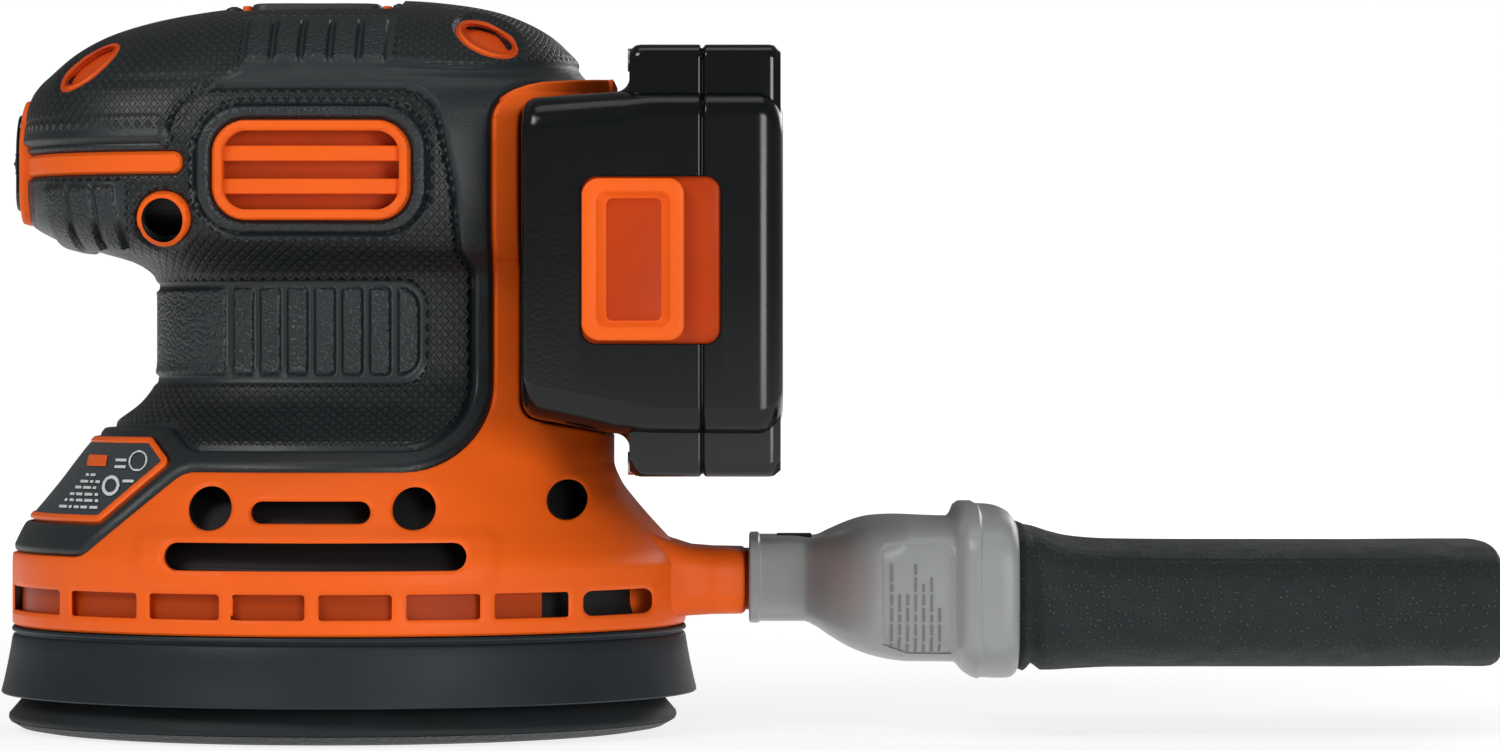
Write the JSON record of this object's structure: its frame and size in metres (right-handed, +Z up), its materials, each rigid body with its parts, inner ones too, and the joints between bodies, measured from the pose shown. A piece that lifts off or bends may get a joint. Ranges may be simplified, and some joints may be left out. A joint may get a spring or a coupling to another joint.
{
  "type": "random orbital sander",
  "caption": "Palm-grip cordless orbital sander with a round pad, rubber skirt, front rocker switch, sliding battery pack and a pull-off dust bag.",
  "frame": {"origin": "motor axis at the pad's sanding face", "axes": "+Z up the motor axis, +X to the rear towards the battery pack and the dust bag, -Y to the side that the pack slides out of"},
  "size_m": [0.2781, 0.1302, 0.1361],
  "materials": {
    "orange_plastic": "satin",
    "dark_orange_plastic": "satin",
    "soft_grip": "soft, finely grained",
    "label_face": "satin",
    "gloss_black": "polished",
    "skirt_rubber": "matte",
    "foam": "closed-cell foam",
    "hook_fabric": "hook and loop",
    "pad_plastic": "matte",
    "motor_steel": "plated",
    "magnet": "sintered",
    "core_steel": "laminated",
    "copper": "enamelled",
    "carbon": "pressed",
    "cap_plastic": "matte",
    "fan_plastic": "matte",
    "weight_metal": "cast",
    "bearing_steel": "ground",
    "screw_steel": "zinc plated",
    "wire_jacket": "smooth",
    "cell_can": "sleeved",
    "carrier_plastic": "matte",
    "clear_grey": "translucent",
    "bag_fabric": "pebbled"
  },
  "bodies": {
    "housing": {"housing_left": "orange_plastic", "housing_right": "orange_plastic", "grip_left": "soft_grip", "grip_right": "soft_grip", "label_plate": "label_face", "palm_badge": "soft_grip", "switch_plate": "orange_plastic", "switch_body": "gloss_black", "battery_dock": "orange_plastic", "terminal_block": "gloss_black", "terminal_blades": "copper", "lead_wires": "wire_jacket", "housing_screws": "screw_steel", "fan_shroud": "dark_orange_plastic", "dust_skirt": "skirt_rubber", "motor_can": "motor_steel", "motor_magnets": "magnet", "motor_end_cap": "cap_plastic", "motor_brushes": "carbon", "bearing_upper": "bearing_steel", "bearing_lower": "bearing_steel"},
    "rotor": {"motor_shaft": "motor_steel", "armature_core": "core_steel", "armature_windings": "copper", "commutator": "copper", "fan": "fan_plastic", "counterweight": "weight_metal", "pad_bearing_outer": "bearing_steel", "pad_bearing_balls": "bearing_steel"},
    "pad": {"pad_bearing_inner": "bearing_steel", "pad_spindle": "motor_steel", "spindle_screw": "screw_steel", "pad_plate": "pad_plastic", "pad_screws": "screw_steel", "pad_foam": "foam", "hook_face": "hook_fabric"},
    "rocker": {"switch_rocker": "gloss_black"},
    "pack": {"pack_shell_inner": "gloss_black", "pack_shell_outer": "gloss_black", "pack_cells": "cell_can", "pack_carrier": "carrier_plastic", "pack_terminals": "copper", "pack_screws": "screw_steel", "latch_spring": "screw_steel"},
    "release": {"release_button": "orange_plastic"},
    "bag": {"bag_adapter": "clear_grey", "bag_collar": "bag_fabric", "dust_bag": "bag_fabric"}
  },
  "joints": [
    {"name": "rotor_spin", "type": "hinge", "parent": "housing", "child": "rotor", "pos_m": [0, 0, 0], "axis": [0, 0, 1], "continuous": true},
    {"name": "pad_spin", "type": "hinge", "parent": "rotor", "child": "pad", "pos_m": [-0.0012, 0, 0], "axis": [0, 0, 1], "continuous": true},
    {"name": "switch_rock", "type": "hinge", "parent": "housing", "child": "rocker", "pos_m": [-0.0575, 0, 0.1055], "axis": [0, 1, 0], "range_deg": [-8, 8]},
    {"name": "pack_slide", "type": "slide", "parent": "housing", "child": "pack", "axis": [0, -1, 0], "range_m": [0, 0.096]},
    {"name": "release_slide", "type": "slide", "parent": "pack", "child": "release", "axis": [1, 0, 0], "range_m": [0, 0.0045], "stiffness_N_per_m": 900, "deforming": ["latch_spring"]},
    {"name": "bag_slide", "type": "slide", "parent": "housing", "child": "bag", "axis": [1, 0, 0], "range_m": [0, 0.03]}
  ]
}
